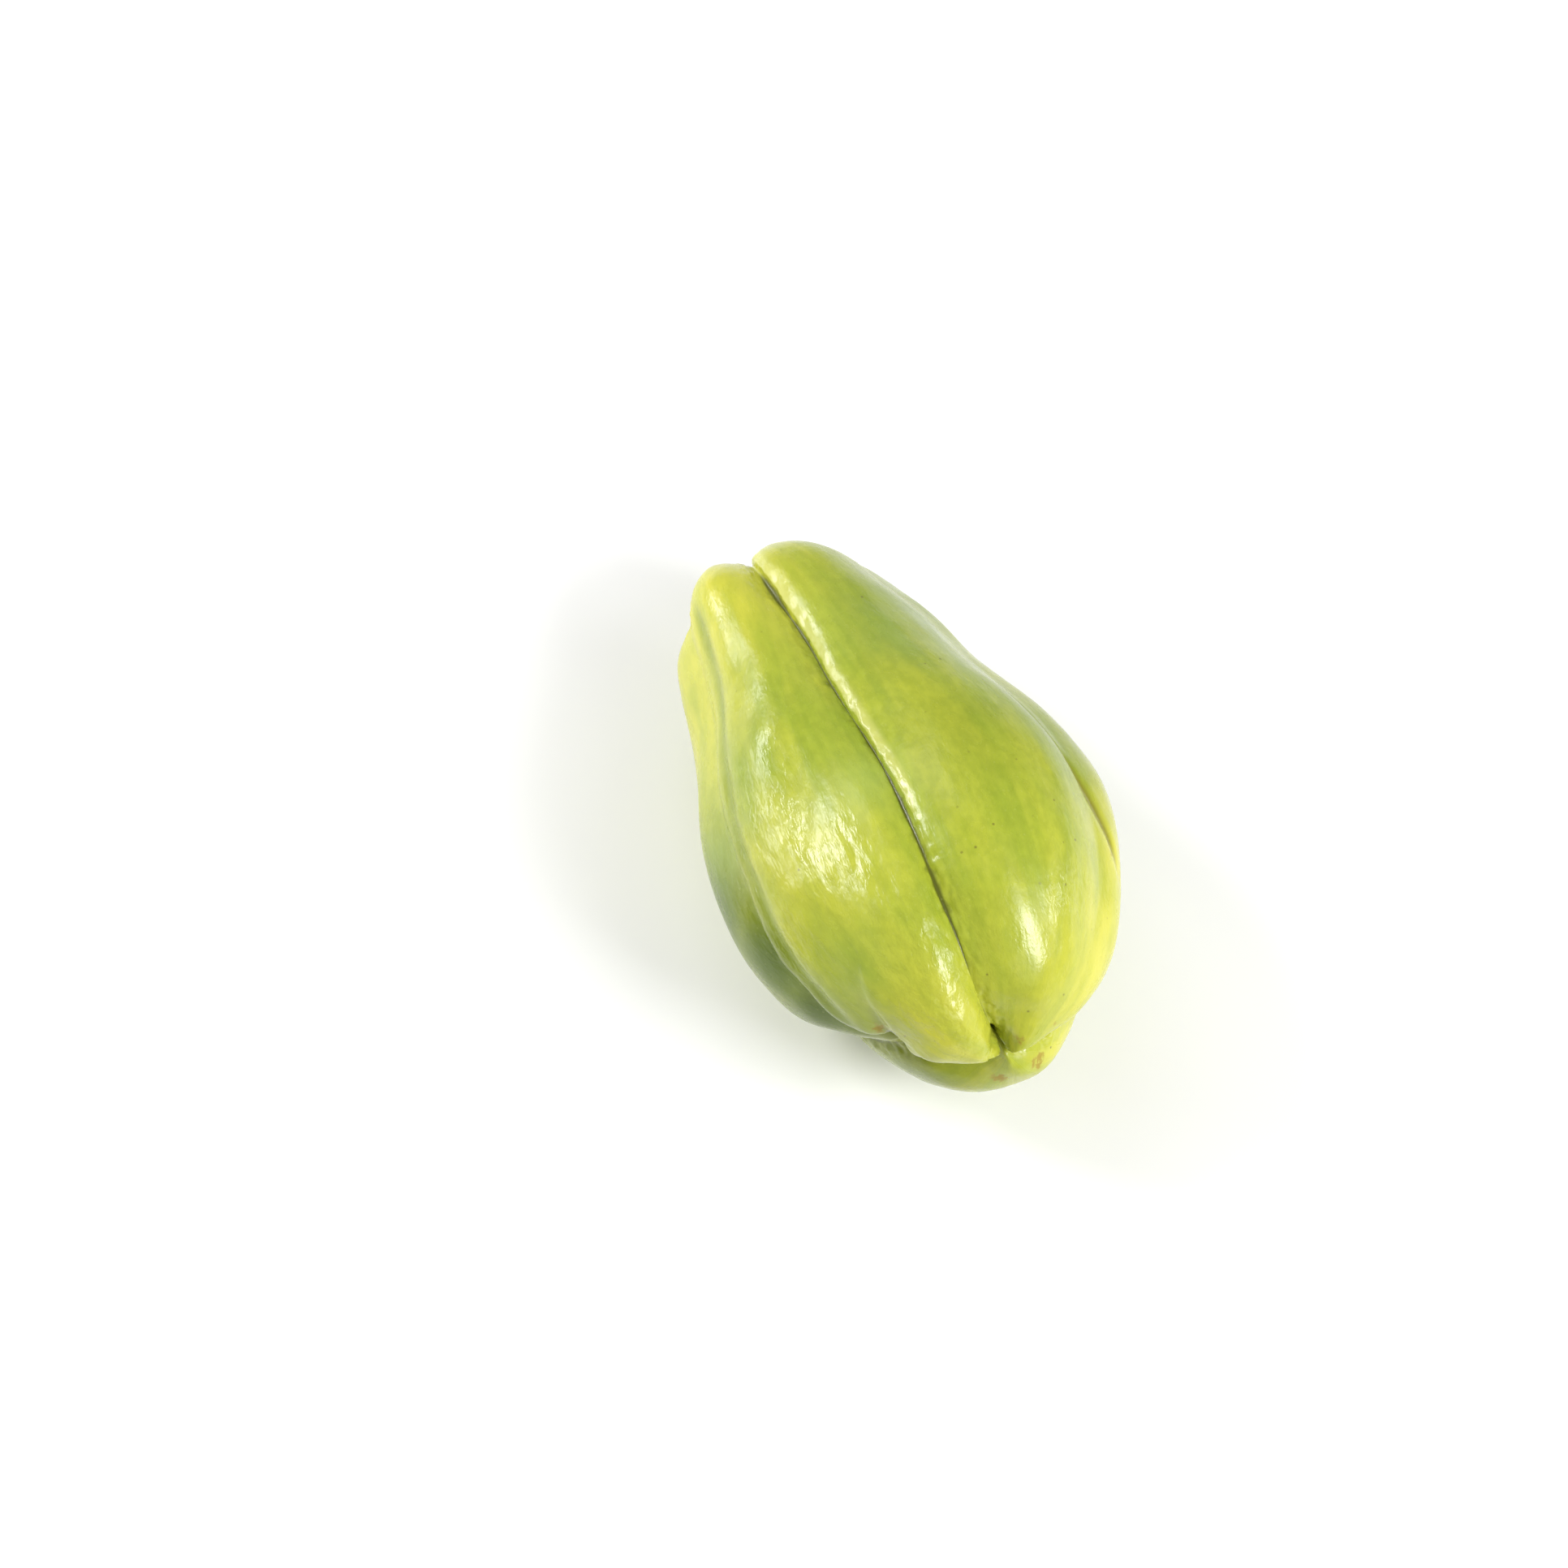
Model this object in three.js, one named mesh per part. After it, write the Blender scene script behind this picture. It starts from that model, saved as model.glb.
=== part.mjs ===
// A chayote squash as it was picked: one pear-shaped fruit with blunt lobes, lying on its side.
// Millimetres, +Z up. The blossom end points along -Y and the stem end along +Y.
// The origin is on the surface that the fruit lies on, under the middle of the fruit's box.

import * as THREE from 'three';
import { ParametricGeometry } from 'three/addons/geometries/ParametricGeometry.js';
import { mergeVertices } from 'three/addons/utils/BufferGeometryUtils.js';

// Driving dimensions.
const LENGTH = 141; // blossom end to stem end
const WIDTH = 86; // side to side over the belly
const HEIGHT = 74; // top to underside over the belly
const REST_TILT = 8; // degrees that the long axis rises towards the blossom end
const FLATTENED = 0.5; // depth of skin pressed flat where the fruit rests

// The meshing: rows run round the fruit, and columns run lengthwise between two furrows.
const ROWS = 56;
const COLUMNS_PER_LOBE = 10;
const ROW_CROWDING = 1.25; // rows lie closer towards the blossom end, where the folds are tight

// The outline over the lobes' crests, from the blossom end to the stem end:
// share of the length, share of the half width, share of the half height.
const OUTLINE = [
  [0.0, 0.0, 0.0], // blossom end
  [0.01, 0.23, 0.21],
  [0.04, 0.46, 0.43],
  [0.12, 0.71, 0.71],
  [0.24, 0.9, 0.92],
  [0.38, 1.0, 1.0], // belly
  [0.52, 0.95, 0.96],
  [0.68, 0.775, 0.82],
  [0.82, 0.66, 0.69], // neck
  [0.92, 0.56, 0.58],
  [0.975, 0.39, 0.41],
  [1.0, 0.18, 0.18], // shoulder round the stem
  [0.99, 0.06, 0.06],
  [0.98, 0.0, 0.0], // stem scar
];

// The bend of the core: share of the length, shift to the side and shift upwards in millimetres.
const CORE = [
  [0, -1, 2],
  [0.38, -0.5, 0],
  [0.68, -3.2, 0],
  [1, -6.5, 0],
];

// Furrows between the lobes, clockwise as seen from the blossom end. A path is a list of places along
// the furrow: share of the way from the blossom end to the stem end along the skin, angle in degrees
// from the top, depth, the widths of the slopes down to it from before and from after its line, and the
// radius of its bottom. Depths, widths and radii are in millimetres.
const FURROWS = [
  {
    name: 'upper left',
    path: [
      [0, -122, 10, 12, 5, 0.3],
      [0.06, -120, 8, 12, 5, 0.3],
      [0.115, -106, 7, 12, 4, 0.3],
      [0.155, -84, 7, 12, 4, 0.3],
      [0.185, -92, 6, 12, 4, 0.4],
      [0.23, -92, 6, 12, 4, 0.5],
      [0.3, -83, 5, 12, 4, 0.8],
      [0.45, -70, 3.6, 11, 4.5, 1.2],
      [0.7, -66, 3, 10, 6, 1.5],
      [1, -60, 3, 10, 7, 1.5],
    ],
  },
  {
    name: 'tongue',
    path: [
      [0, -80, 0, 9, 9, 3],
      [0.1, -78, 0, 9, 9, 3],
      [0.155, -74, 3.5, 9, 9, 3],
      [0.2, -57, 1.4, 11, 11, 4],
      [0.28, -42, 0, 12, 12, 4],
      [1, -36, 0, 12, 12, 4],
    ],
  },
  {
    name: 'crown',
    path: [
      [0, -12, 13, 4, 9, 0.1],
      [0.06, -12, 7, 3, 12, 0.1],
      [0.25, -8, 5.5, 3, 12, 0.1],
      [0.42, -7, 5, 8, 10, 0.1],
      [0.55, -7, 5.5, 11, 7, 0.1],
      [0.8, -8, 5.5, 10, 7, 0.1],
      [1, -10, 6, 9, 7, 0.1],
    ],
  },
  {
    name: 'right',
    path: [
      [0, 50, 0, 12, 9, 3],
      [0.15, 60, 1, 12, 9, 2],
      [0.25, 65, 2.2, 12, 8, 0.8],
      [0.45, 61, 2.4, 12, 8, 0.8],
      [0.6, 57, 1.8, 12, 9, 2],
      [1, 52, 2, 12, 9, 3],
    ],
  },
  {
    name: 'lower right',
    path: [
      [0, 115, 12, 8, 5, 0.4],
      [0.04, 126, 6, 6, 5, 0.4],
      [0.13, 122, 5, 9, 6, 0.5],
      [0.3, 120, 4, 10, 8, 1],
      [0.6, 125, 3, 10, 10, 2],
      [1, 125, 3, 10, 10, 2],
    ],
  },
  {
    name: 'lower left',
    path: [
      [0, 215, 6, 10, 10, 1.5],
      [0.16, 231, 5, 10, 10, 1.5],
      [0.4, 224, 4, 10, 10, 1.5],
      [1, 215, 3, 10, 10, 2],
    ],
  },
];
const SLOPE_CURVE = 1.5; // 1 for flat slopes down to a furrow's line, 2 for slopes that round over evenly
const BROAD_HOLLOW = 1.4; // a furrow's broad hollow fades over this many times its slope's width
const SLOPES_SHARE = 0.65; // share of a furrow's depth in its slopes, the rest in the broad hollow
const WIDEST_AT_ENDS = 0.9; // widest that a slope may be near the two ends, as a share of the radius
const MEETING = 3; // how sharply one furrow takes over from the next where they meet

// How far each lobe stops short of the blossom end and of the stem end, in millimetres.
// A lobe lies between the furrow of the same number and the next one.
const LOBES = [
  { name: 'left shoulder', blossom: 4, stem: -1 },
  { name: 'tongue', blossom: 1, stem: -1 },
  { name: 'upper right', blossom: 2, stem: 0 },
  { name: 'right side', blossom: 2, stem: 3 },
  { name: 'underside', blossom: -1.5, stem: 4 },
  { name: 'left side', blossom: 9, stem: 5 },
];
const BLOSSOM_REACH = 0.42; // share of the length over which a lobe's blossom end is set back
const STEM_REACH = 0.25; // share of the length over which its stem end is set back
const PIT_RADIUS = 12; // mm round the core over which the set back fades towards the two ends
const LOBE_BLEND = 0.15; // share of half a lobe on each side of its middle that is set back evenly

const { clamp, degToRad, euclideanModulo, lerp, smoothstep } = THREE.MathUtils;

const outlinePoints = OUTLINE.map(
  ([share, wide, high]) => new THREE.Vector3(LENGTH * share, WIDTH / 2 * wide, HEIGHT / 2 * high),
);
const outline = new THREE.CatmullRomCurve3(outlinePoints, false, 'centripetal');
outline.arcLengthDivisions = 400;

// A value between the entries of a list whose first number is the place, eased from one to the next.
function between(list, place, column) {
  const last = list.findIndex(([start]) => start >= place);
  if (last < 0) return list[list.length - 1][column];
  if (last === 0) return list[0][column];
  const [before, after] = [list[last - 1], list[last]];
  return lerp(before[column], after[column], smoothstep(place, before[0], after[0]));
}

function furrowAngle(index, place) {
  const turn = Math.floor(index / FURROWS.length);
  return between(FURROWS[index - turn * FURROWS.length].path, place, 1) + turn * 360;
}

// The angle of a column: columns crowd towards the furrows, so that each furrow's line is an edge loop.
function columnAngle(across, place) {
  const index = Math.floor(across);
  const share = (1 - Math.cos(Math.PI * (across - index))) / 2;
  return lerp(furrowAngle(index, place), furrowAngle(index + 1, place), share);
}

// How far the skin lies under the crests' outline, in the furrows and between them.
function furrowDepth(angle, place, radius) {
  let sum = 0;
  FURROWS.forEach(({ path }) => {
    const away = euclideanModulo(angle - between(path, place, 1) + 180, 360) - 180;
    const distance = degToRad(away) * radius;
    const wide = Math.min(between(path, place, away < 0 ? 3 : 4), WIDEST_AT_ENDS * radius + 0.1);
    const soft = between(path, place, 5);
    const slopes = clamp(1 - (Math.hypot(distance, soft) - soft) / wide, 0, 1) ** SLOPE_CURVE;
    const broad = Math.exp(-((distance / (BROAD_HOLLOW * wide)) ** 2));
    sum += (between(path, place, 2) * lerp(broad, slopes, SLOPES_SHARE)) ** MEETING;
  });
  return sum ** (1 / MEETING);
}

// How far the lobe at this column stops short, blended from the middle of one lobe to the next.
function setBack(across, end) {
  const count = LOBES.length;
  const from = Math.floor(across - 0.5);
  const [before, after] = [LOBES[euclideanModulo(from, count)], LOBES[euclideanModulo(from + 1, count)]];
  return lerp(before[end], after[end], smoothstep(across - 0.5 - from, LOBE_BLEND, 1 - LOBE_BLEND));
}

// A point of the skin: u runs once round the fruit and v runs from the blossom end to the stem end.
// Every point is sunk along the outline's slope, then its lobe's ends are set back along the core.
function skin(u, v, target) {
  const place = v ** ROW_CROWDING;
  const ring = outline.getPointAt(place);
  const slope = outline.getTangentAt(place);
  const share = clamp(ring.x / LENGTH, 0, 1);
  const across = (u % 1) * FURROWS.length;
  const angle = columnAngle(across, place);
  const radius = (ring.y + ring.z) / 2;

  const flare = new THREE.Vector2(slope.x, (slope.y + slope.z) / 2).normalize();
  const depth = furrowDepth(angle, place, radius);
  const inward = clamp(depth * flare.x, -radius / 2, radius / 2);
  const sunkEndward = depth * flare.y;

  const clear = smoothstep(radius, 0, PIT_RADIUS);
  const nearBlossom = clear * (1 - smoothstep(share, 0, BLOSSOM_REACH));
  const nearStem = clear * smoothstep(share, 1 - STEM_REACH, 1);
  const endward = setBack(across, 'blossom') * nearBlossom - setBack(across, 'stem') * nearStem;

  target.set(
    (ring.y - inward) * Math.sin(degToRad(angle)) + between(CORE, share, 1),
    ring.x + sunkEndward + endward,
    (ring.z - inward) * Math.cos(degToRad(angle)) + between(CORE, share, 2),
  );
}

// Lays the fruit down: tilts it, sets its lowest skin on the ground and presses the resting spots flat.
function layDown(geometry) {
  geometry.rotateX(-degToRad(REST_TILT));
  geometry.computeBoundingBox();
  const { min, max } = geometry.boundingBox;
  geometry.translate(-(min.x + max.x) / 2, -(min.y + max.y) / 2, -min.z - FLATTENED);
  const position = geometry.getAttribute('position');
  for (let i = 0; i < position.count; i += 1) position.setZ(i, Math.max(position.getZ(i), 0));
}

function fruitGeometry() {
  const geometry = new ParametricGeometry(skin, FURROWS.length * COLUMNS_PER_LOBE, ROWS);
  geometry.deleteAttribute('normal');
  geometry.deleteAttribute('uv');
  layDown(geometry);
  const closed = mergeVertices(geometry, 1e-3);
  closed.computeVertexNormals();
  return closed;
}

const fruit = new THREE.Mesh(
  fruitGeometry(),
  new THREE.MeshStandardMaterial({ color: 0xa9b93f, roughness: 0.45, metalness: 0 }),
);
fruit.name = 'chayote_fruit';

const chayote = new THREE.Group();
chayote.add(fruit);

export default chayote;
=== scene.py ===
import math

import bmesh
import bpy
import numpy as np
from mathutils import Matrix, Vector, kdtree


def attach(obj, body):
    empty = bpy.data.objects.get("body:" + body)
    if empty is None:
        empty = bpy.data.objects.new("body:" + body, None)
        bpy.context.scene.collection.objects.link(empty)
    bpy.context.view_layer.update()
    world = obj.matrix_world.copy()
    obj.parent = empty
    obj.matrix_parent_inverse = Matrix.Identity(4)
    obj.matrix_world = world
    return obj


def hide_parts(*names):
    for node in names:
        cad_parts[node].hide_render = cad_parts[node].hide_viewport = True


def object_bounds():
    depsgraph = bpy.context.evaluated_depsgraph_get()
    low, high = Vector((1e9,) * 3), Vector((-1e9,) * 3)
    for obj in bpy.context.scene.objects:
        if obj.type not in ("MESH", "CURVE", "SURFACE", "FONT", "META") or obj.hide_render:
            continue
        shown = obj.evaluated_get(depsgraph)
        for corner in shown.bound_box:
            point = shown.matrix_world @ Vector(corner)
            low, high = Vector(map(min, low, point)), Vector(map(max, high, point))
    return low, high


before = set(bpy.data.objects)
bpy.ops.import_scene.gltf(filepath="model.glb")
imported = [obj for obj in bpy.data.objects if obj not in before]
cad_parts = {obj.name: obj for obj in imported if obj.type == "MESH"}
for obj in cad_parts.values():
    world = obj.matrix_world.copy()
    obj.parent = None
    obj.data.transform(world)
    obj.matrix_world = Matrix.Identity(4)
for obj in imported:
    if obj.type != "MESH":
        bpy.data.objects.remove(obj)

# A chayote squash lying on its side, in metres. The blossom end points along -Y and the stem end
# along +Y.

MM = 0.001
CAD_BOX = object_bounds()
LOW, HIGH = (Vector(corner) for corner in CAD_BOX)
SIZE = HIGH - LOW
MIDDLE = (LOW + HIGH) / 2

# The two ends of the fruit's core, which the colour's streaks follow.
STEM = Vector((MIDDLE.x - 6 * MM, HIGH.y, LOW.z + 0.42 * SIZE.z))
BLOSSOM = Vector((MIDDLE.x, LOW.y, LOW.z + 0.62 * SIZE.z))
CORE_RADIUS = 0.1 * MM  # skin nearer the core than this counts as this far away

# The mesh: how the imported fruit's facets become smooth skin.
MERGE = 0.01 * MM  # corners closer than this are one corner
FURROW_BEND = math.radians(38)  # facets that fold inwards by more than this meet in a furrow's line
FURROW_CREASE = 0.8  # how sharp a furrow's line stays when the skin is smoothed, from 0 to 1
WIDEST_STRIP = 3.4 * MM  # lengthwise strips wider than this over the belly are split in two
BELLY = 0.4  # share of the length, from the blossom end, at which the strips are measured
BELLY_BAND = 3 * MM  # how far from there an edge's middle may be
MOSTLY_ACROSS = 0.5  # an edge crosses a strip if less than this of its direction is lengthwise
SMOOTHING = 2  # subdivision levels

# The relief: width and length of its features, and its height from trough to crest, in
# millimetres.
SWELLS = {"wide": 13, "long": 28, "height": 1.2}
LIP_KNOBS = {"wide": 1.6, "long": 2.0, "height": 0.8}
WRINKLES = {"wide": 1.9, "long": 5.0, "height": 0.6}
OFF_GROUND = (1 * MM, 6 * MM)  # heights between which the relief comes in
LIPS_FULL = (1.2 * MM, 2 * MM)  # from a furrow's line, where its lips are knobbly all over
LIPS_REACH = 4.5 * MM  # from a furrow's line, how far its knobbly lips go
LIP_HEIGHT = 1.1 * MM  # how far the lip right of the crown furrow rises
LIP_EDGE = 0.1 * MM  # how far from the furrow's line it begins
LIP_CREST = 1.8 * MM  # how far its crest is from the line
LIP_FOOT = 9 * MM  # how far from the line it has run out into the lobe
LIP_STARTS, LIP_FULL = 0.2, 0.42  # share of the length, from the blossom end, where it rises
CROWN_WIDTH = (0.3, 0.75)  # the crown furrow's line lies between these shares of the width
CROWN_LOWEST = 0.5  # and above this share of the height
FAINT_WRINKLES = 0.12  # how strong the wrinkles are outside the wrinkled spots
WRINKLES_CLEAR = (0.5 * MM, 4 * MM)  # from a furrow's line, where the wrinkles come in
GROUP_STEPS = 50  # how finely the weights that mask the relief are graded
EVENING_ROUNDS = 60  # how often the finished skin is evened out to find its hollows

# Grooves pressed into the shallow furrows at the two sides. A path is seen from the side: shares
# of the length and of the height, from the blossom end to the stem end.
LEFT_GROOVE = {
    "side": -1,
    "path": [
        (0.10, 0.64),
        (0.20, 0.70),
        (0.30, 0.735),
        (0.38, 0.75),
        (0.57, 0.72),
        (0.76, 0.64),
        (0.96, 0.53),
    ],
    "wide": 2.4 * MM,
    "deep": 1.3 * MM,
}
RIGHT_GROOVE = {
    "side": 1,
    "path": [
        (0.20, 0.63),
        (0.26, 0.67),
        (0.32, 0.71),
        (0.39, 0.74),
        (0.48, 0.76),
        (0.60, 0.75),
    ],
    "wide": 1.0 * MM,
    "deep": 0.7 * MM,
}
GROOVE_TAPER = 0.08  # share of the length over which a groove fades in and out
# The deep green, painted shade included, ends along the left groove between these heights.
GREEN_AND_SHADE_EDGE = (-1.5 * MM, 2 * MM)  # heights over the left groove between which deep green ends

# The scar where the stalk was, at the stem end.
SCAR_RADIUS = 3.2 * MM
SCAR_RISE = 4.2 * MM  # over the bottom of the pit
SCAR_DOME = 0.5  # roundness of its top, where 1 is a ball of the scar's own radius
SCAR_PLUG = (0.8, 1)  # shares of its radius between which the plug ends
SCAR_COLOUR = (0.95, 1.15)  # shares of its radius between which the cork's colour ends

# Wrinkled parts of the skin: share of the box from its lowest corner, reach and strength.
WRINKLED_SPOTS = [
    ((0.09, 0.47, 0.77), 17 * MM, 1.0),  # left lobe's flank
    ((0.24, 0.34, 0.94), 12 * MM, 0.9),  # left lobe's crest
    ((0.39, 0.20, 0.95), 13 * MM, 1.0),  # tongue
    ((0.36, 0.08, 0.82), 12 * MM, 0.8),  # tongue's tip
    ((0.76, 0.19, 0.87), 7 * MM, 1.0),  # right lobe
    ((0.08, 0.28, 0.74), 12 * MM, 1.0),  # lower edge of the left lobe
    ((0.15, 0.85, 0.60), 9 * MM, 0.5),  # left shoulder by the stem
]

# Parts of the skin that ripened yellow.
RIPE_SPOTS = [
    ((0.20, 0.92, 0.58), 26 * MM, 0.9),  # left shoulder by the stem
    ((0.10, 0.72, 0.50), 18 * MM, 0.7),  # left side below it
    ((0.93, 0.27, 0.60), 15 * MM, 1.0),  # right side, beside its furrow
    ((0.80, 0.11, 0.60), 22 * MM, 1.0),  # right lobe's blossom end
    ((0.68, 0.03, 0.45), 14 * MM, 0.9),  # right corner of the lower lip
    ((0.38, 0.08, 0.75), 16 * MM, 0.6),  # tip of the tongue
    ((0.15, 0.35, 0.85), 20 * MM, 0.4),  # left lobe over the wrinkles
]

# Parts of the skin that are a pale blue-green: partly pale skin, partly a painted sheen, and on the
# left side above the belly a painted highlight.
PALE_AND_SHEEN_SPOTS = [
    ((0.37, 0.44, 0.97), 8 * MM, 0.6),  # left of the crown furrow, over the belly
    ((0.68, 0.72, 0.80), 15 * MM, 0.6),  # right of the neck
    ((0.06, 0.50, 0.58), 9 * MM, 0.6),  # left side, above the belly
    ((0.23, 0.20, 0.80), 9 * MM, 0.5),  # left lobe, above the notch
]

# Parts of the skin that are deep green: partly skin that stayed green, partly painted shade, most
# of all on the left side under the belly and the notch and left of the lower lip.
GREEN_AND_SHADE_SPOTS = [
    ((0.67, 0.72, 0.80), 24 * MM, 0.3),  # right of the neck
    ((0.90, 0.48, 0.70), 20 * MM, 0.3),  # right shoulder
    ((0.66, 0.48, 0.97), 18 * MM, 0.25),  # right of the crown furrow
    ((0.01, 0.42, 0.50), 16 * MM, 1.0),  # left side, under the belly
    ((0.03, 0.30, 0.56), 16 * MM, 1.0),
    ((0.10, 0.19, 0.50), 16 * MM, 1.0),  # under the notch
    ((0.28, 0.08, 0.38), 11 * MM, 0.7),  # left of the lower lip
]

# Scuffs healed to tan cork: share of the box, reach and strength.
SCUFFS = [
    ((0.58, 0.01, 0.54), 3.4 * MM, 1.0),  # lower lip
    ((0.47, 0.01, 0.52), 2.8 * MM, 1.0),
    ((0.53, 0.03, 0.68), 2.4 * MM, 0.8),  # in the slit
    ((0.62, 0.03, 0.68), 2.2 * MM, 0.8),
    ((0.23, 0.12, 0.68), 3.2 * MM, 0.9),  # in the notch beside the tongue
    ((0.10, 0.46, 0.79), 2.0 * MM, 0.5),  # edge of the left furrow
    ((0.79, 0.23, 0.88), 1.0 * MM, 1.0),  # right lobe
    ((0.92, 0.34, 0.74), 1.8 * MM, 0.7),  # along the right furrow
    ((0.93, 0.26, 0.70), 2.4 * MM, 0.9),
]

# Colours of the skin, as linear red, green and blue.
LEAF_GREEN = (0.285, 0.365, 0.026)
LIME = (0.42, 0.455, 0.036)
STREAK_LIME = (0.48, 0.52, 0.055)
MOTTLE_GREEN = (0.2, 0.26, 0.018)
RIPE_YELLOW = (0.6, 0.58, 0.06)
# Deep green, partly painted shade.
DEEP_GREEN_AND_SHADE = (0.085, 0.14, 0.001)
# Pale blue-green, partly a painted sheen.
PALE_GREEN_AND_SHEEN = (0.31, 0.42, 0.1)
# Cream along the crown furrow's lip, partly a painted highlight.
LIP_CREAM_AND_HIGHLIGHT = (0.62, 0.62, 0.17)
# Painted shade in the hollows.
HOLLOW_SHADE_OLIVE = (0.2, 0.24, 0.02)
# Painted shade along the left groove.
LEFT_GROOVE_SHADE = (0.22, 0.28, 0.012)
RIGHT_GROOVE_OLIVE = (0.22, 0.2, 0.015)
# Painted shade along the bottom of a furrow.
FURROW_LINE_SHADE = (0.09, 0.1, 0.006)
PORE_BROWN = (0.15, 0.13, 0.02)
FLECK_CREAM = (0.55, 0.58, 0.17)
SCUFF_TAN = (0.34, 0.23, 0.02)
CORK_DARK = (0.16, 0.11, 0.045)
CORK_PALE = (0.5, 0.42, 0.22)

# The waxy surface.
WAX_ROUGHNESS = (0.21, 0.32)  # where the wax is thick and where it is thin
DULLER = 0.4  # roughness that scuffs and cork add
SKIN_SHADER = {
    "IOR": 1.48,
    "Coat Weight": 0.15,
    "Coat Roughness": 0.18,
    "Coat IOR": 1.45,
    "Subsurface Weight": 0.12,
    "Subsurface Radius": (1.0, 0.9, 0.25),
    "Subsurface Scale": 1.6 * MM,
}
WRINKLE_BUMP = 0.3 * MM  # heights of the fine relief
PEEL_BUMP = 0.05 * MM
CORK_BUMP = 0.6 * MM

# The studio: a pale floor, even white light all round and windows. A window is its name, azimuth
# and elevation in degrees, distance, width and height in metres, and power in watts.
FLOOR_SIZE = 20
FLOOR_SHADER = {"Base Color": (0.9, 0.9, 0.9), "Roughness": 0.6, "Specular IOR Level": 0.2}
SURROUNDINGS = 0.25
WINDOWS = [
    ("left window", -132, 15, 0.7, 0.6, 0.08, 2.4),
    ("upper left window", -126, 46, 0.7, 0.24, 0.14, 2.5),
    ("right window", 72, 22, 0.7, 0.16, 0.16, 0.7),
    ("upper right window", 52, 58, 0.7, 0.2, 0.2, 0.4),
    ("front right window", 40, 40, 0.8, 0.3, 0.3, 5.0),
    ("front", 10, 32, 0.9, 0.6, 0.3, 0.5),
    ("high back", 180, 55, 0.8, 0.4, 0.3, 0.6),
]

# The camera looks down at the blossom end. Framing is how far right of and above the picture's
# middle the fruit's middle lies.
VIEW_AZIMUTH = math.radians(-20.5)
VIEW_ELEVATION = math.radians(64)
CAMERA_DISTANCE = 0.75
CAMERA_LENS = 80.4  # mm
CAMERA_SENSOR = 36  # mm
FRAMING_RIGHT = 23 * MM
FRAMING_UP = -4 * MM


def only(piece):
    """Selects this piece and nothing else."""
    bpy.ops.object.select_all(action="DESELECT")
    piece.select_set(True)
    bpy.context.view_layer.objects.active = piece


def in_box(shares):
    """The place at these shares of the box, from its lowest corner to its highest."""
    return Vector(LOW[axis] + SIZE[axis] * shares[axis] for axis in range(3))


def eased(values, start, end):
    """0 before start, 1 after end and an even S-curve between them; end may be the smaller one."""
    share = np.clip((values - start) / (end - start), 0, 1)
    return share * share * (3 - 2 * share)


# ------------------------------------------------------------------------------------------------
# The mesh
# ------------------------------------------------------------------------------------------------


def rings_from(pole):
    """How many rings of facets lie between each corner and the pole."""
    ring = {pole: 0}
    edge_of_growth = [pole]
    while edge_of_growth:
        grown = []
        for corner in edge_of_growth:
            for edge in corner.link_edges:
                neighbour = edge.other_vert(corner)
                if neighbour not in ring:
                    ring[neighbour] = ring[corner] + 1
                    grown.append(neighbour)
        edge_of_growth = grown
    return ring


def diagonals(bm):
    """The edges that split the skin's quads. Rings run round the fruit between its two poles. In
    each triangle with two corners on the ring nearer the first pole, the way off that ring is a
    diagonal."""
    poles = sorted(bm.verts, key=lambda corner: len(corner.link_edges))[-2:]
    ring = rings_from(min(poles, key=lambda corner: corner.co.y))
    found = set()
    for face in bm.faces:
        for loop in face.loops:
            here = loop.vert
            after, before = loop.link_loop_next.vert, loop.link_loop_prev.vert
            if ring[here] == ring[before] < ring[after] and after not in poles:
                found.add(loop.edge)
    return found


def fruit_cage():
    """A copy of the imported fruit, merged, with its triangles paired into quads."""
    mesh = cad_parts["chayote_fruit"].data.copy()
    mesh.name = "chayote"
    mesh.materials.clear()
    fruit = bpy.data.objects.new("chayote", mesh)
    bpy.context.scene.collection.objects.link(fruit)
    only(fruit)
    bpy.ops.object.mode_set(mode="EDIT")
    bpy.ops.mesh.select_all(action="SELECT")
    bpy.ops.mesh.remove_doubles(threshold=MERGE)
    bm = bmesh.from_edit_mesh(mesh)
    split = diagonals(bm)
    bpy.ops.mesh.select_all(action="DESELECT")
    for edge in split:
        edge.select = True
    bmesh.update_edit_mesh(mesh)
    bpy.ops.mesh.dissolve_edges(use_verts=False)
    bpy.ops.object.mode_set(mode="OBJECT")
    return fruit


def mark_furrows(fruit):
    """Marks each furrow's line as a seam and creases it, so that it stays a line when smoothed."""
    bm = bmesh.new()
    bm.from_mesh(fruit.data)
    crease = bm.edges.layers.float.new("crease_edge")
    for edge in bm.edges:
        if edge.calc_face_angle_signed(0) < -FURROW_BEND:
            edge.seam = True
            edge[crease] = FURROW_CREASE
    bm.to_mesh(fruit.data)
    bm.free()


def split_wide_strips(fruit):
    """Adds a lengthwise loop in the middle of each wide strip of quads, to make strips even."""
    only(fruit)
    bpy.ops.object.mode_set(mode="EDIT")
    bpy.ops.mesh.select_all(action="DESELECT")
    bpy.ops.mesh.select_mode(type="EDGE")
    bm = bmesh.from_edit_mesh(fruit.data)
    belly = LOW.y + BELLY * SIZE.y
    for edge in bm.edges:
        a, b = (corner.co for corner in edge.verts)
        across = abs((a - b).normalized().y) < MOSTLY_ACROSS
        at_belly = abs((a.y + b.y) / 2 - belly) < BELLY_BAND
        edge.select = across and at_belly and (a - b).length > WIDEST_STRIP
    bmesh.update_edit_mesh(fruit.data)
    bpy.ops.mesh.loop_multi_select(ring=True)
    bpy.ops.mesh.subdivide(number_cuts=1, smoothness=1)
    bpy.ops.object.mode_set(mode="OBJECT")


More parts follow.
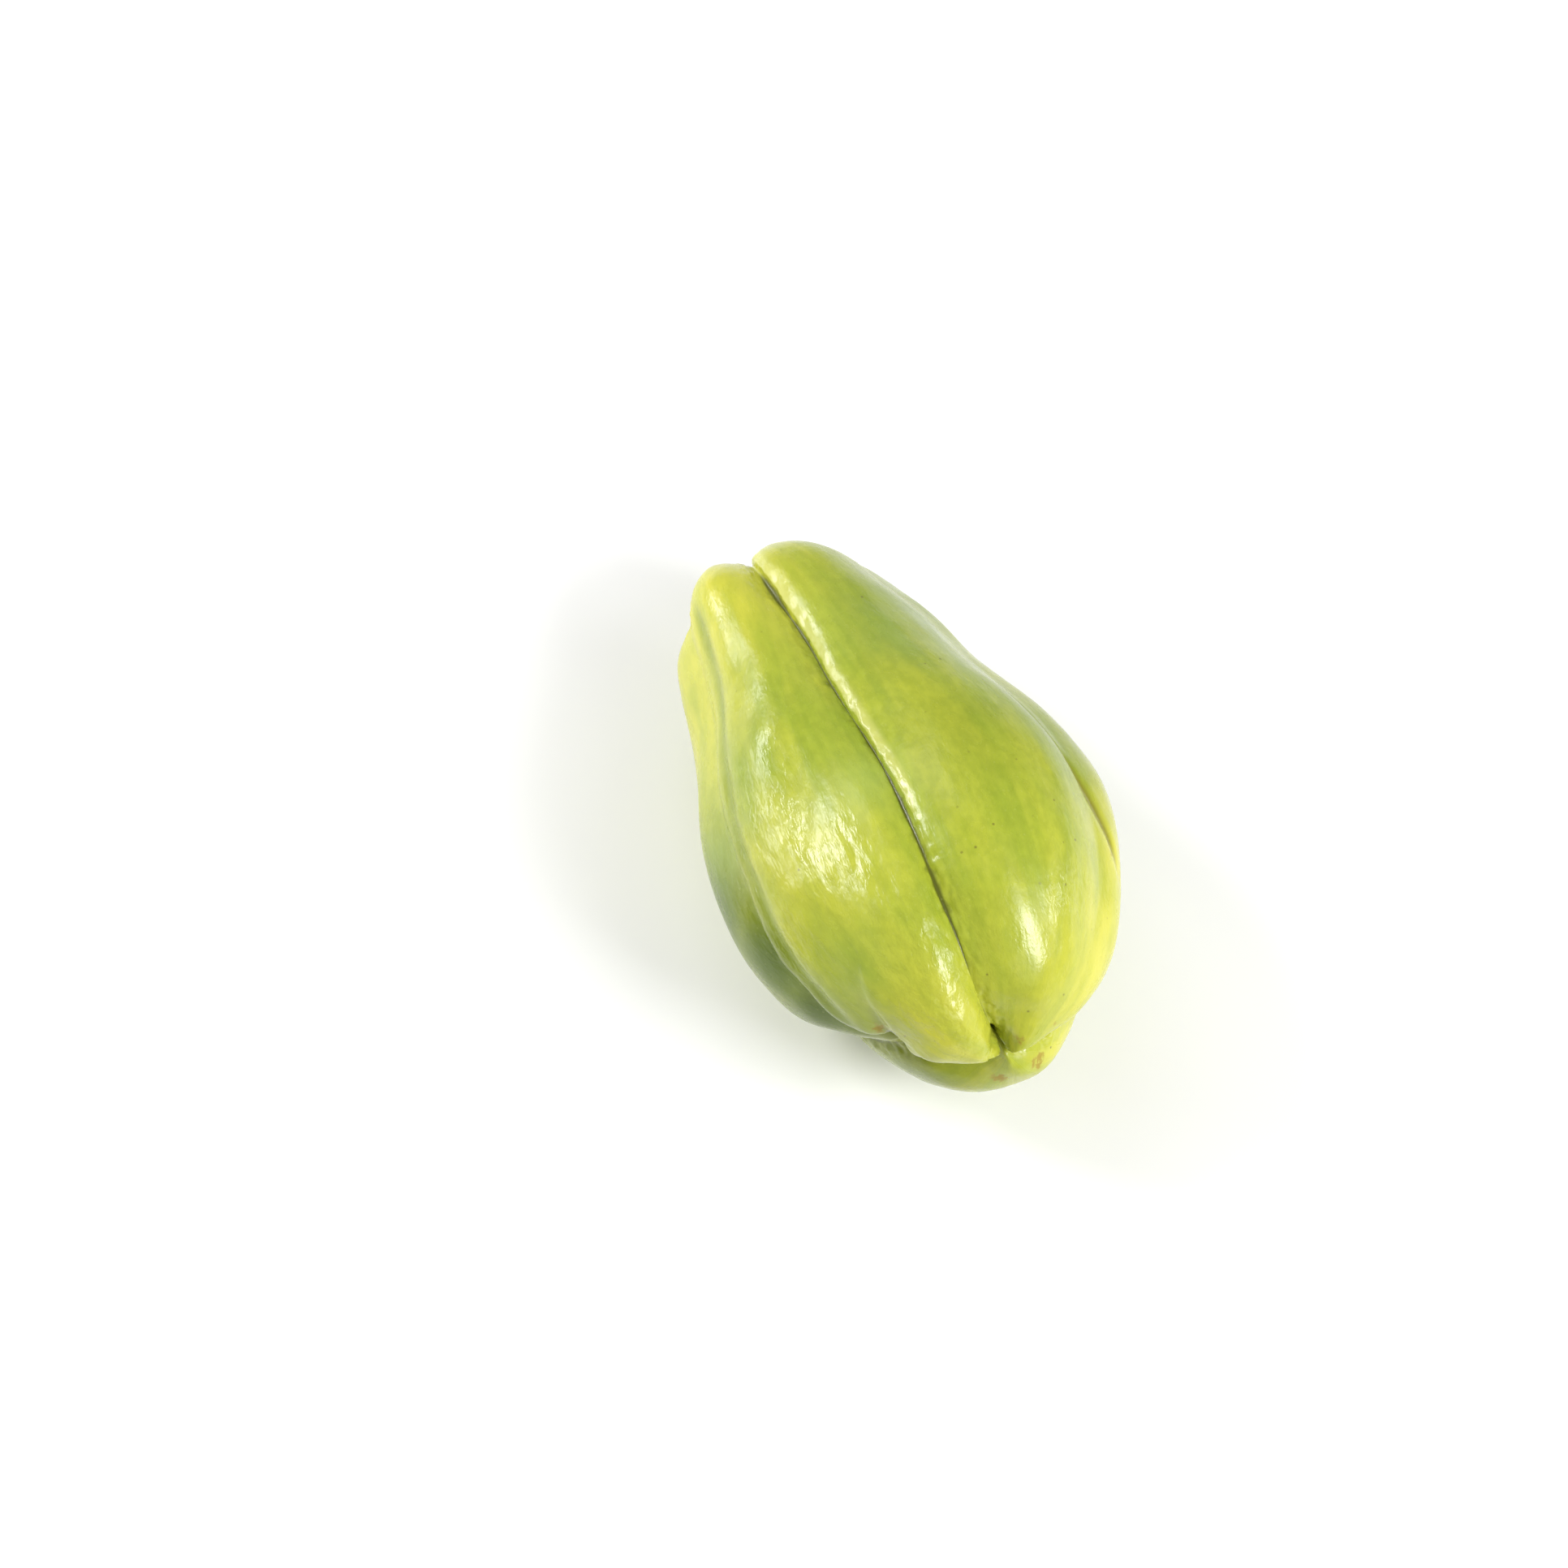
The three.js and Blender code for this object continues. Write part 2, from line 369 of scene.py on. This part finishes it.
def smooth_skin(fruit):
    """Subdivides the cage into rounded skin."""
    only(fruit)
    subdivision = fruit.modifiers.new("smooth", "SUBSURF")
    subdivision.levels = SMOOTHING
    subdivision.render_levels = SMOOTHING
    bpy.ops.object.modifier_apply(modifier=subdivision.name)


def corners(fruit):
    """Every corner's place, as an array."""
    places = np.empty(len(fruit.data.vertices) * 3)
    fruit.data.vertices.foreach_get("co", places)
    return places.reshape(-1, 3)


def corner_normals(fruit):
    """The direction out of the skin at every corner, as an array."""
    normals = np.empty(len(fruit.data.vertices) * 3)
    fruit.data.vertices.foreach_get("normal", normals)
    return normals.reshape(-1, 3)


def edge_ends(fruit):
    """The two corners of every edge, as an array."""
    ends = np.empty(len(fruit.data.edges) * 2, int)
    fruit.data.edges.foreach_get("vertices", ends)
    return ends.reshape(-1, 2)


def move_corners(fruit, places):
    """Moves every corner to its new place."""
    fruit.data.vertices.foreach_set("co", places.ravel())
    fruit.data.update()


def nearest_line(fruit):
    """For each corner, the nearest place on a furrow's line and how far away it is."""
    mesh = fruit.data
    on_line = sorted({corner for edge in mesh.edges if edge.use_seam for corner in edge.vertices})
    tree = kdtree.KDTree(len(on_line))
    for index in on_line:
        tree.insert(mesh.vertices[index].co, index)
    tree.balance()
    found = [tree.find(corner.co) for corner in mesh.vertices]
    return np.array([place for place, _, _ in found]), np.array([away for _, _, away in found])


def above_groove(places, groove):
    """How far each corner lies above a groove's path, and how much of the groove is beside it."""
    along, high = np.array(groove["path"]).T
    length = (places[:, 1] - LOW.y) / SIZE.y
    path_height = LOW.z + SIZE.z * np.interp(length, along, high)
    slant = np.interp(length, along, np.gradient(high * SIZE.z, along * SIZE.y))
    fading_in = eased(length, along[0], along[0] + GROOVE_TAPER)
    fading_out = eased(length, along[-1], along[-1] - GROOVE_TAPER)
    on_side = (places[:, 0] - MIDDLE.x) * groove["side"] > 0
    above = (places[:, 2] - path_height) / np.hypot(1, slant)
    return above, on_side * (fading_in * fading_out)


def press_groove(fruit, groove):
    """Presses a groove along its path. Returns how far each corner is in it, from 0 to 1."""
    places = corners(fruit)
    above, present = above_groove(places, groove)
    within = present * np.exp(-((above / groove["wide"]) ** 2))
    move_corners(fruit, places - corner_normals(fruit) * (groove["deep"] * within)[:, None])
    return within


def raise_crown_lip(fruit):
    """Raises the right side of the crown furrow into a tightly rolled lip. Returns how much of a
    lip is at each corner."""
    places = corners(fruit)
    line, away = nearest_line(fruit)
    sideways, lengthwise, upwards = ((line - np.array(LOW)) / np.array(SIZE)).T
    crown = (sideways > CROWN_WIDTH[0]) & (sideways < CROWN_WIDTH[1]) & (upwards > CROWN_LOWEST)
    right = crown & (places[:, 0] > line[:, 0])
    across = eased(away, LIP_EDGE, LIP_CREST) * eased(away, LIP_FOOT, LIP_CREST)
    ridge = np.where(right, across * eased(lengthwise, LIP_STARTS, LIP_FULL), 0)
    move_corners(fruit, places + corner_normals(fruit) * (LIP_HEIGHT * ridge)[:, None])
    return ridge


def set_group(fruit, name, weights):
    """Paints a vertex group, which masks a modifier."""
    group = fruit.vertex_groups.new(name=name)
    steps = np.round(weights * GROUP_STEPS).astype(int)
    for step in range(1, GROUP_STEPS + 1):
        members = np.flatnonzero(steps == step)
        if len(members):
            group.add(members.tolist(), step / GROUP_STEPS, "REPLACE")
    return group.name


def add_relief(fruit, name, shape, group):
    """Displaces the skin of a vertex group by clouds drawn out along the fruit."""
    only(fruit)
    clouds = bpy.data.textures.new(name, "CLOUDS")
    clouds.noise_scale = 1
    clouds.noise_depth = 1
    field = bpy.data.objects.new(name + "_field", None)
    bpy.context.scene.collection.objects.link(field)
    field.scale = (shape["wide"] * MM, shape["long"] * MM, shape["wide"] * MM)
    bpy.context.view_layer.update()
    displace = fruit.modifiers.new(name, "DISPLACE")
    displace.texture = clouds
    displace.texture_coords = "OBJECT"
    displace.texture_coords_object = field
    displace.direction = "NORMAL"
    displace.strength = shape["height"] * MM
    displace.mid_level = 0.5
    displace.vertex_group = group
    bpy.ops.object.modifier_apply(modifier=name)
    bpy.data.objects.remove(field)


def add_stem_scar(fruit):
    """Fills the pit where the furrows meet at the stem end, the corner with the most edges, with
    the corky plug that the stalk leaves. Returns how much of a scar is at each corner."""
    places = corners(fruit)
    edges_here = np.bincount(edge_ends(fruit).ravel(), minlength=len(places))
    at_stem = places[:, 1] > MIDDLE.y
    pit = places[np.argmax(edges_here * at_stem)].copy()
    reach = np.hypot(places[:, 0] - pit[0], places[:, 2] - pit[2])
    plug = at_stem * (1 - eased(reach, *(share * SCAR_RADIUS for share in SCAR_PLUG)))
    top = pit[1] + SCAR_RISE - SCAR_DOME * reach ** 2 / (2 * SCAR_RADIUS)
    places[:, 1] += (top - places[:, 1]) * plug
    move_corners(fruit, places)
    return at_stem * (1 - eased(reach, *(share * SCAR_RADIUS for share in SCAR_COLOUR)))


def soft_spots(places, spots):
    """How strongly each corner is coloured by soft round spots."""
    strength = np.zeros(len(places))
    for shares, reach, amount in spots:
        away = np.linalg.norm(places - np.array(in_box(shares)), axis=1)
        strength = np.maximum(strength, amount * np.exp(-((away / reach) ** 2)))
    return strength


def store(fruit, name, values):
    """Keeps one number, or one vector, for each corner of the skin, for the material to read."""
    kind, field = ("FLOAT_VECTOR", "vector") if values.ndim == 2 else ("FLOAT", "value")
    attribute = fruit.data.attributes.new(name, kind, "POINT")
    attribute.data.foreach_set(field, values.astype(np.float32).ravel())


def evened_out(values, ends):
    """The values after moving each, again and again, halfway to the mean of its neighbours."""
    count = np.bincount(ends.ravel(), minlength=len(values))[:, None]
    for _ in range(EVENING_ROUNDS):
        total = np.zeros_like(values)
        np.add.at(total, ends[:, 0], values[ends[:, 1]])
        np.add.at(total, ends[:, 1], values[ends[:, 0]])
        values = (values + total / count) / 2
    return values


def hollowness(fruit):
    """How deep each corner lies under its surroundings, in millimetres: over 0 in a hollow."""
    places = corners(fruit)
    around = evened_out(places, edge_ends(fruit))
    return ((around - places) * corner_normals(fruit)).sum(1) / MM


def flow(places):
    """Coordinates in millimetres that follow the skin: the direction out from the core, at an
    even distance from it, and the place along the fruit."""
    along = np.clip((places[:, 1] - BLOSSOM.y) / (STEM.y - BLOSSOM.y), 0, 1)[:, None]
    core = np.array(BLOSSOM) * (1 - along) + np.array(STEM) * along
    out = places - core
    out[:, 1] = 0
    out /= np.maximum(np.linalg.norm(out, axis=1), CORE_RADIUS)[:, None]
    out *= SIZE.z / 2
    out[:, 1] = places[:, 1]
    return out / MM


def roughen(fruit):
    """Adds swells, knobbly lips and wrinkles, except where the fruit rests. Returns how wrinkled
    each corner is."""
    places = corners(fruit)
    distance = nearest_line(fruit)[1]
    off_ground = eased(places[:, 2], *OFF_GROUND)
    on_lips = eased(distance, 0, LIPS_FULL[0]) * eased(distance, LIPS_REACH, LIPS_FULL[1])
    wrinkling = np.maximum(soft_spots(places, WRINKLED_SPOTS), FAINT_WRINKLES)
    wrinkling *= off_ground * eased(distance, *WRINKLES_CLEAR)
    everywhere = set_group(fruit, "off the ground", off_ground)
    lips = set_group(fruit, "lips", off_ground * on_lips)
    wrinkled = set_group(fruit, "wrinkled", wrinkling)
    add_relief(fruit, "swells", SWELLS, everywhere)
    add_relief(fruit, "knobs", LIP_KNOBS, lips)
    add_relief(fruit, "wrinkles", WRINKLES, wrinkled)
    fruit.vertex_groups.clear()
    return wrinkling


def keep_above_ground(fruit):
    """Flattens whatever the relief pushed under the surface that the fruit lies on."""
    places = corners(fruit)
    places[:, 2] = np.maximum(places[:, 2], 0)
    move_corners(fruit, places)


def deep_green_and_shade(places):
    """How deep green each corner is, painted shade included: the green spots, cut off along the
    left groove.
    """
    above, present = above_groove(places, LEFT_GROOVE)
    return soft_spots(places, GREEN_AND_SHADE_SPOTS) * (1 - present * eased(above, *GREEN_AND_SHADE_EDGE))


def build_fruit():
    """The whole fruit, with what its material reads kept at each corner."""
    fruit = fruit_cage()
    mark_furrows(fruit)
    split_wide_strips(fruit)
    smooth_skin(fruit)
    kept = {
        "lip": raise_crown_lip(fruit),
        "left_groove": press_groove(fruit, LEFT_GROOVE),
        "right_groove": press_groove(fruit, RIGHT_GROOVE),
        "wrinkling": roughen(fruit),
        "scar": add_stem_scar(fruit),
    }
    keep_above_ground(fruit)
    places = corners(fruit)
    kept["furrow"] = nearest_line(fruit)[1] / MM
    kept["hollow"] = hollowness(fruit)
    kept["ripe"] = soft_spots(places, RIPE_SPOTS)
    kept["pale"] = soft_spots(places, PALE_AND_SHEEN_SPOTS)
    kept["green"] = deep_green_and_shade(places)
    kept["scuff"] = soft_spots(places, SCUFFS)
    kept["flow"] = flow(places)
    for name, values in kept.items():
        store(fruit, name, values)
    only(fruit)
    bpy.ops.object.shade_smooth()
    return fruit


# ------------------------------------------------------------------------------------------------
# The skin's material
# ------------------------------------------------------------------------------------------------


class Tree:
    """Builds one material's nodes. A value given to a node is a number, a colour or another
    node's output."""

    def __init__(self, name):
        self.material = bpy.data.materials.new(name)
        self.material.use_nodes = True
        self.nodes = self.material.node_tree.nodes
        self.links = self.material.node_tree.links
        self.shader = self.nodes["Principled BSDF"]

    def give(self, socket, value):
        """Links another node's output to a socket, or sets the socket's own value."""
        if isinstance(value, bpy.types.NodeSocket):
            self.links.new(value, socket)
        elif socket.type == "RGBA":
            socket.default_value = (*value, 1)
        else:
            socket.default_value = value

    def fill(self, node, values):
        """Gives each named input of a node its value."""
        for name, value in values.items():
            self.give(node.inputs[name], value)

    def maths(self, operation, a, b, clamp=False):
        node = self.nodes.new("ShaderNodeMath")
        node.operation = operation
        node.use_clamp = clamp
        self.give(node.inputs[0], a)
        self.give(node.inputs[1], b)
        return node.outputs[0]

    def times(self, a, b, clamp=False):
        return self.maths("MULTIPLY", a, b, clamp)

    def span(self, value, start, end, low=0.0, high=1.0):
        """Eases from low to high as the value goes from start to end."""
        node = self.nodes.new("ShaderNodeMapRange")
        node.interpolation_type = "SMOOTHSTEP"
        ends = {"From Min": start, "From Max": end, "To Min": low, "To Max": high}
        self.fill(node, {"Value": value, **ends})
        return node.outputs["Result"]

    def colour(self, share, under, over):
        """Lays one colour over another. The node has other sockets for numbers and vectors."""
        node = self.nodes.new("ShaderNodeMix")
        node.data_type = "RGBA"
        for index, value in ((0, share), (6, under), (7, over)):
            self.give(node.inputs[index], value)
        return node.outputs[2]

    def attribute(self, name, output="Fac"):
        node = self.nodes.new("ShaderNodeAttribute")
        node.attribute_name = name
        return node.outputs[output]

    def stretched(self, place, wide, long):
        """A place scaled so that a pattern's features are this wide and this long."""
        node = self.nodes.new("ShaderNodeMapping")
        self.fill(node, {"Vector": place, "Scale": (1 / wide, 1 / long, 1 / wide)})
        return node.outputs["Vector"]

    def noise(self, place, wide, long, detail=2.0, roughness=0.5, distortion=0.0):
        """Soft noise whose features are this wide and this long, in the place's own units."""
        node = self.nodes.new("ShaderNodeTexNoise")
        kind = {"Detail": detail, "Roughness": roughness, "Distortion": distortion}
        self.fill(node, {"Vector": self.stretched(place, wide, long), "Scale": 1, **kind})
        return node.outputs["Fac"]

    def dots(self, place, wide, long):
        """Distance to the nearest of scattered points, where 1 is their usual distance apart."""
        node = self.nodes.new("ShaderNodeTexVoronoi")
        self.fill(node, {"Vector": self.stretched(place, wide, long), "Scale": 1})
        return node.outputs["Distance"]

    def bump(self, height, distance, normal=None):
        """Relief that rises by this distance for a height of 1, on top of the one before."""
        node = self.nodes.new("ShaderNodeBump")
        self.fill(node, {"Height": height, "Distance": distance, "Strength": 1})
        if normal:
            self.give(node.inputs["Normal"], normal)
        return node.outputs["Normal"]


def ground_colour(tree, place, flowing):
    """Leaf green to lime in long soft patches, with lengthwise streaks and fine mottling."""
    patches = tree.noise(flowing, 13, 34, detail=3, roughness=0.55)
    ground = tree.colour(tree.span(patches, 0.36, 0.64), LEAF_GREEN, LIME)
    streaks = tree.noise(flowing, 2.6, 24, detail=3, roughness=0.6)
    ground = tree.colour(tree.span(streaks, 0.3, 0.7, high=0.35), ground, STREAK_LIME)
    mottling = tree.noise(place, 2.4 * MM, 3.4 * MM, detail=3, roughness=0.6)
    return tree.colour(tree.span(mottling, 0.34, 0.66, high=0.3), ground, MOTTLE_GREEN)


def ripened(tree, flowing, ground):
    """Adds the ripe yellow and the pale blue-green parts, both with ragged edges, the pale ones
    partly a painted sheen, and the deep green ones, with soft edges, partly painted shade."""
    tears = tree.noise(flowing, 6, 15, detail=4, roughness=0.6)
    ragged = tree.span(tears, 0.3, 0.7, low=0.6, high=1.25)
    ripe = tree.times(tree.attribute("ripe"), ragged, clamp=True)
    ground = tree.colour(ripe, ground, RIPE_YELLOW)
    # Deep green, partly painted shade on the lower left side and on the right.
    green = tree.times(tree.attribute("green"), 0.95, clamp=True)
    ground = tree.colour(green, ground, DEEP_GREEN_AND_SHADE)
    # The pale blue-green is partly a painted sheen, and on the left side above the belly it is a
    # painted highlight.
    pale = tree.times(tree.attribute("pale"), ragged, clamp=True)
    return tree.colour(tree.times(pale, 0.7), ground, PALE_GREEN_AND_SHEEN)


def furrowed(tree, ground):
    """Adds the cream lip right of the crown furrow, partly a painted highlight, the olive hollows
    and the green left groove as painted shade, the olive right groove, and the dark line of painted
    shade at the bottom of a furrow."""
    # The cream lip is partly a painted highlight along the rolled lip.
    lip = tree.span(tree.attribute("lip"), 0.7, 1, high=0.6)
    ground = tree.colour(lip, ground, LIP_CREAM_AND_HIGHLIGHT)
    hollow = tree.attribute("hollow")
    # Painted shade: the hollows darkened to olive.
    hollow_shade = tree.span(hollow, 0.05, 0.5, high=0.55)
    ground = tree.colour(hollow_shade, ground, HOLLOW_SHADE_OLIVE)
    # Painted shade: the left groove darkened to green.
    left_groove = tree.span(tree.attribute("left_groove"), 0.1, 1, high=0.6)
    ground = tree.colour(left_groove, ground, LEFT_GROOVE_SHADE)
    right_groove = tree.span(tree.attribute("right_groove"), 0.2, 1, high=0.8)
    ground = tree.colour(right_groove, ground, RIGHT_GROOVE_OLIVE)
    # Painted shade: a dark line along the bottom of each furrow.
    near_line = tree.span(tree.attribute("furrow"), 1.6, 0.2, high=0.95)
    line = tree.times(near_line, tree.span(hollow, 0.05, 0.4))
    return tree.colour(line, ground, FURROW_LINE_SHADE)


def speckled(tree, place, ground):
    """Adds pores, as small dark dots in loose groups, and finer pale flecks between them."""
    pores = tree.dots(place, 4.6 * MM, 4.6 * MM)
    groups = tree.span(tree.noise(place, 9 * MM, 9 * MM), 0.45, 0.6)
    dark_dots = tree.times(tree.span(pores, 0.09, 0.03), groups)
    ground = tree.colour(tree.times(dark_dots, 0.85), ground, PORE_BROWN)
    flecks = tree.dots(place, 1.3 * MM, 1.5 * MM)
    return tree.colour(tree.span(flecks, 0.2, 0.08, high=0.14), ground, FLECK_CREAM)


def skin_material():
    tree = Tree("chayote skin")
    place = tree.nodes.new("ShaderNodeTexCoord").outputs["Object"]  # in metres
    flowing = tree.attribute("flow", "Vector")  # in millimetres
    ground = ground_colour(tree, place, flowing)
    ground = ripened(tree, flowing, ground)
    ground = furrowed(tree, ground)
    ground = speckled(tree, place, ground)

    # Scuffs healed to tan cork, broken up along their edges.
    torn = tree.noise(place, 1.1 * MM, 1.5 * MM, detail=4, roughness=0.65)
    scuffed = tree.span(tree.times(tree.attribute("scuff"), torn), 0.3, 0.45)
    ground = tree.colour(tree.times(scuffed, 0.85), ground, SCUFF_TAN)

    # The stem scar: dry cork with dark pits.
    scar = tree.attribute("scar")
    pits = tree.noise(place, 0.7 * MM, 0.7 * MM, detail=4, roughness=0.7)
    cork = tree.colour(tree.span(pits, 0.35, 0.65), CORK_DARK, CORK_PALE)
    ground = tree.colour(scar, ground, cork)

    # Gloss: waxy skin, duller on scuffs and cork and in patches of thinner wax.
    wax = tree.noise(flowing, 5, 9, detail=3)
    dull = tree.times(tree.maths("MAXIMUM", scuffed, scar), DULLER)
    roughness = tree.maths("ADD", tree.span(wax, 0.3, 0.7, *WAX_ROUGHNESS), dull, clamp=True)

    # Fine relief: wrinkles drawn out along the fruit, orange peel all over and the scar's pits.
    wrinkles = tree.noise(place, 1.0 * MM, 3.6 * MM, distortion=0.4)
    wrinkling = tree.span(tree.attribute("wrinkling"), 0, 1, low=0.2)
    peel = tree.noise(place, 0.9 * MM, 1.2 * MM)
    normal = tree.bump(tree.times(wrinkles, wrinkling), WRINKLE_BUMP)
    normal = tree.bump(peel, PEEL_BUMP, normal)
    normal = tree.bump(tree.times(pits, scar), CORK_BUMP, normal)

    surface = {"Base Color": ground, "Roughness": roughness, "Normal": normal}
    tree.fill(tree.shader, {**surface, **SKIN_SHADER})
    return tree.material


# ------------------------------------------------------------------------------------------------
# The studio
# ------------------------------------------------------------------------------------------------


def towards(azimuth, elevation):
    """The direction from the fruit to something seen from it, by angles in radians: azimuth 0 is
    in front of the blossom end."""
    flat = math.cos(elevation)
    return Vector((math.sin(azimuth) * flat, -math.cos(azimuth) * flat, math.sin(elevation)))


def add_window(name, azimuth, elevation, distance, wide, high, watts):
    """A soft rectangular light turned to the fruit."""
    data = bpy.data.lights.new(name, "AREA")
    data.shape = "RECTANGLE"
    data.size = wide
    data.size_y = high
    data.energy = watts
    window = bpy.data.objects.new(name, data)
    bpy.context.scene.collection.objects.link(window)
    direction = towards(math.radians(azimuth), math.radians(elevation))
    window.location = MIDDLE + direction * distance
    window.rotation_euler = (MIDDLE - window.location).to_track_quat("-Z", "Y").to_euler()


def lay_floor():
    bpy.ops.object.select_all(action="DESELECT")
    bpy.ops.mesh.primitive_plane_add(size=FLOOR_SIZE, location=(0, 0, 0))
    floor = bpy.context.object
    floor.name = "floor"
    tree = Tree("pale floor")
    tree.fill(tree.shader, FLOOR_SHADER)
    floor.data.materials.append(tree.material)


def light_studio():
    for window in WINDOWS:
        add_window(*window)
    world = bpy.data.worlds.new("studio")
    world.use_nodes = True
    background = world.node_tree.nodes["Background"]
    background.inputs["Color"].default_value = (1, 1, 1, 1)
    background.inputs["Strength"].default_value = SURROUNDINGS
    bpy.context.scene.world = world


def set_camera():
    data = bpy.data.cameras.new("camera")
    data.lens = CAMERA_LENS
    data.sensor_width = CAMERA_SENSOR
    camera = bpy.data.objects.new("camera", data)
    bpy.context.scene.collection.objects.link(camera)
    back = towards(VIEW_AZIMUTH, VIEW_ELEVATION)
    right = Vector((math.cos(VIEW_AZIMUTH), math.sin(VIEW_AZIMUTH), 0))
    up = back.cross(right)
    aim = MIDDLE - right * FRAMING_RIGHT - up * FRAMING_UP
    camera.location = aim + back * CAMERA_DISTANCE
    camera.rotation_euler = back.to_track_quat("Z", "Y").to_euler()
    bpy.context.scene.camera = camera
    bpy.context.scene.view_settings.view_transform = "Standard"


chayote = build_fruit()
chayote.data.materials.append(skin_material())
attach(chayote, "root")
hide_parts("chayote_fruit")
lay_floor()
light_studio()
set_camera()
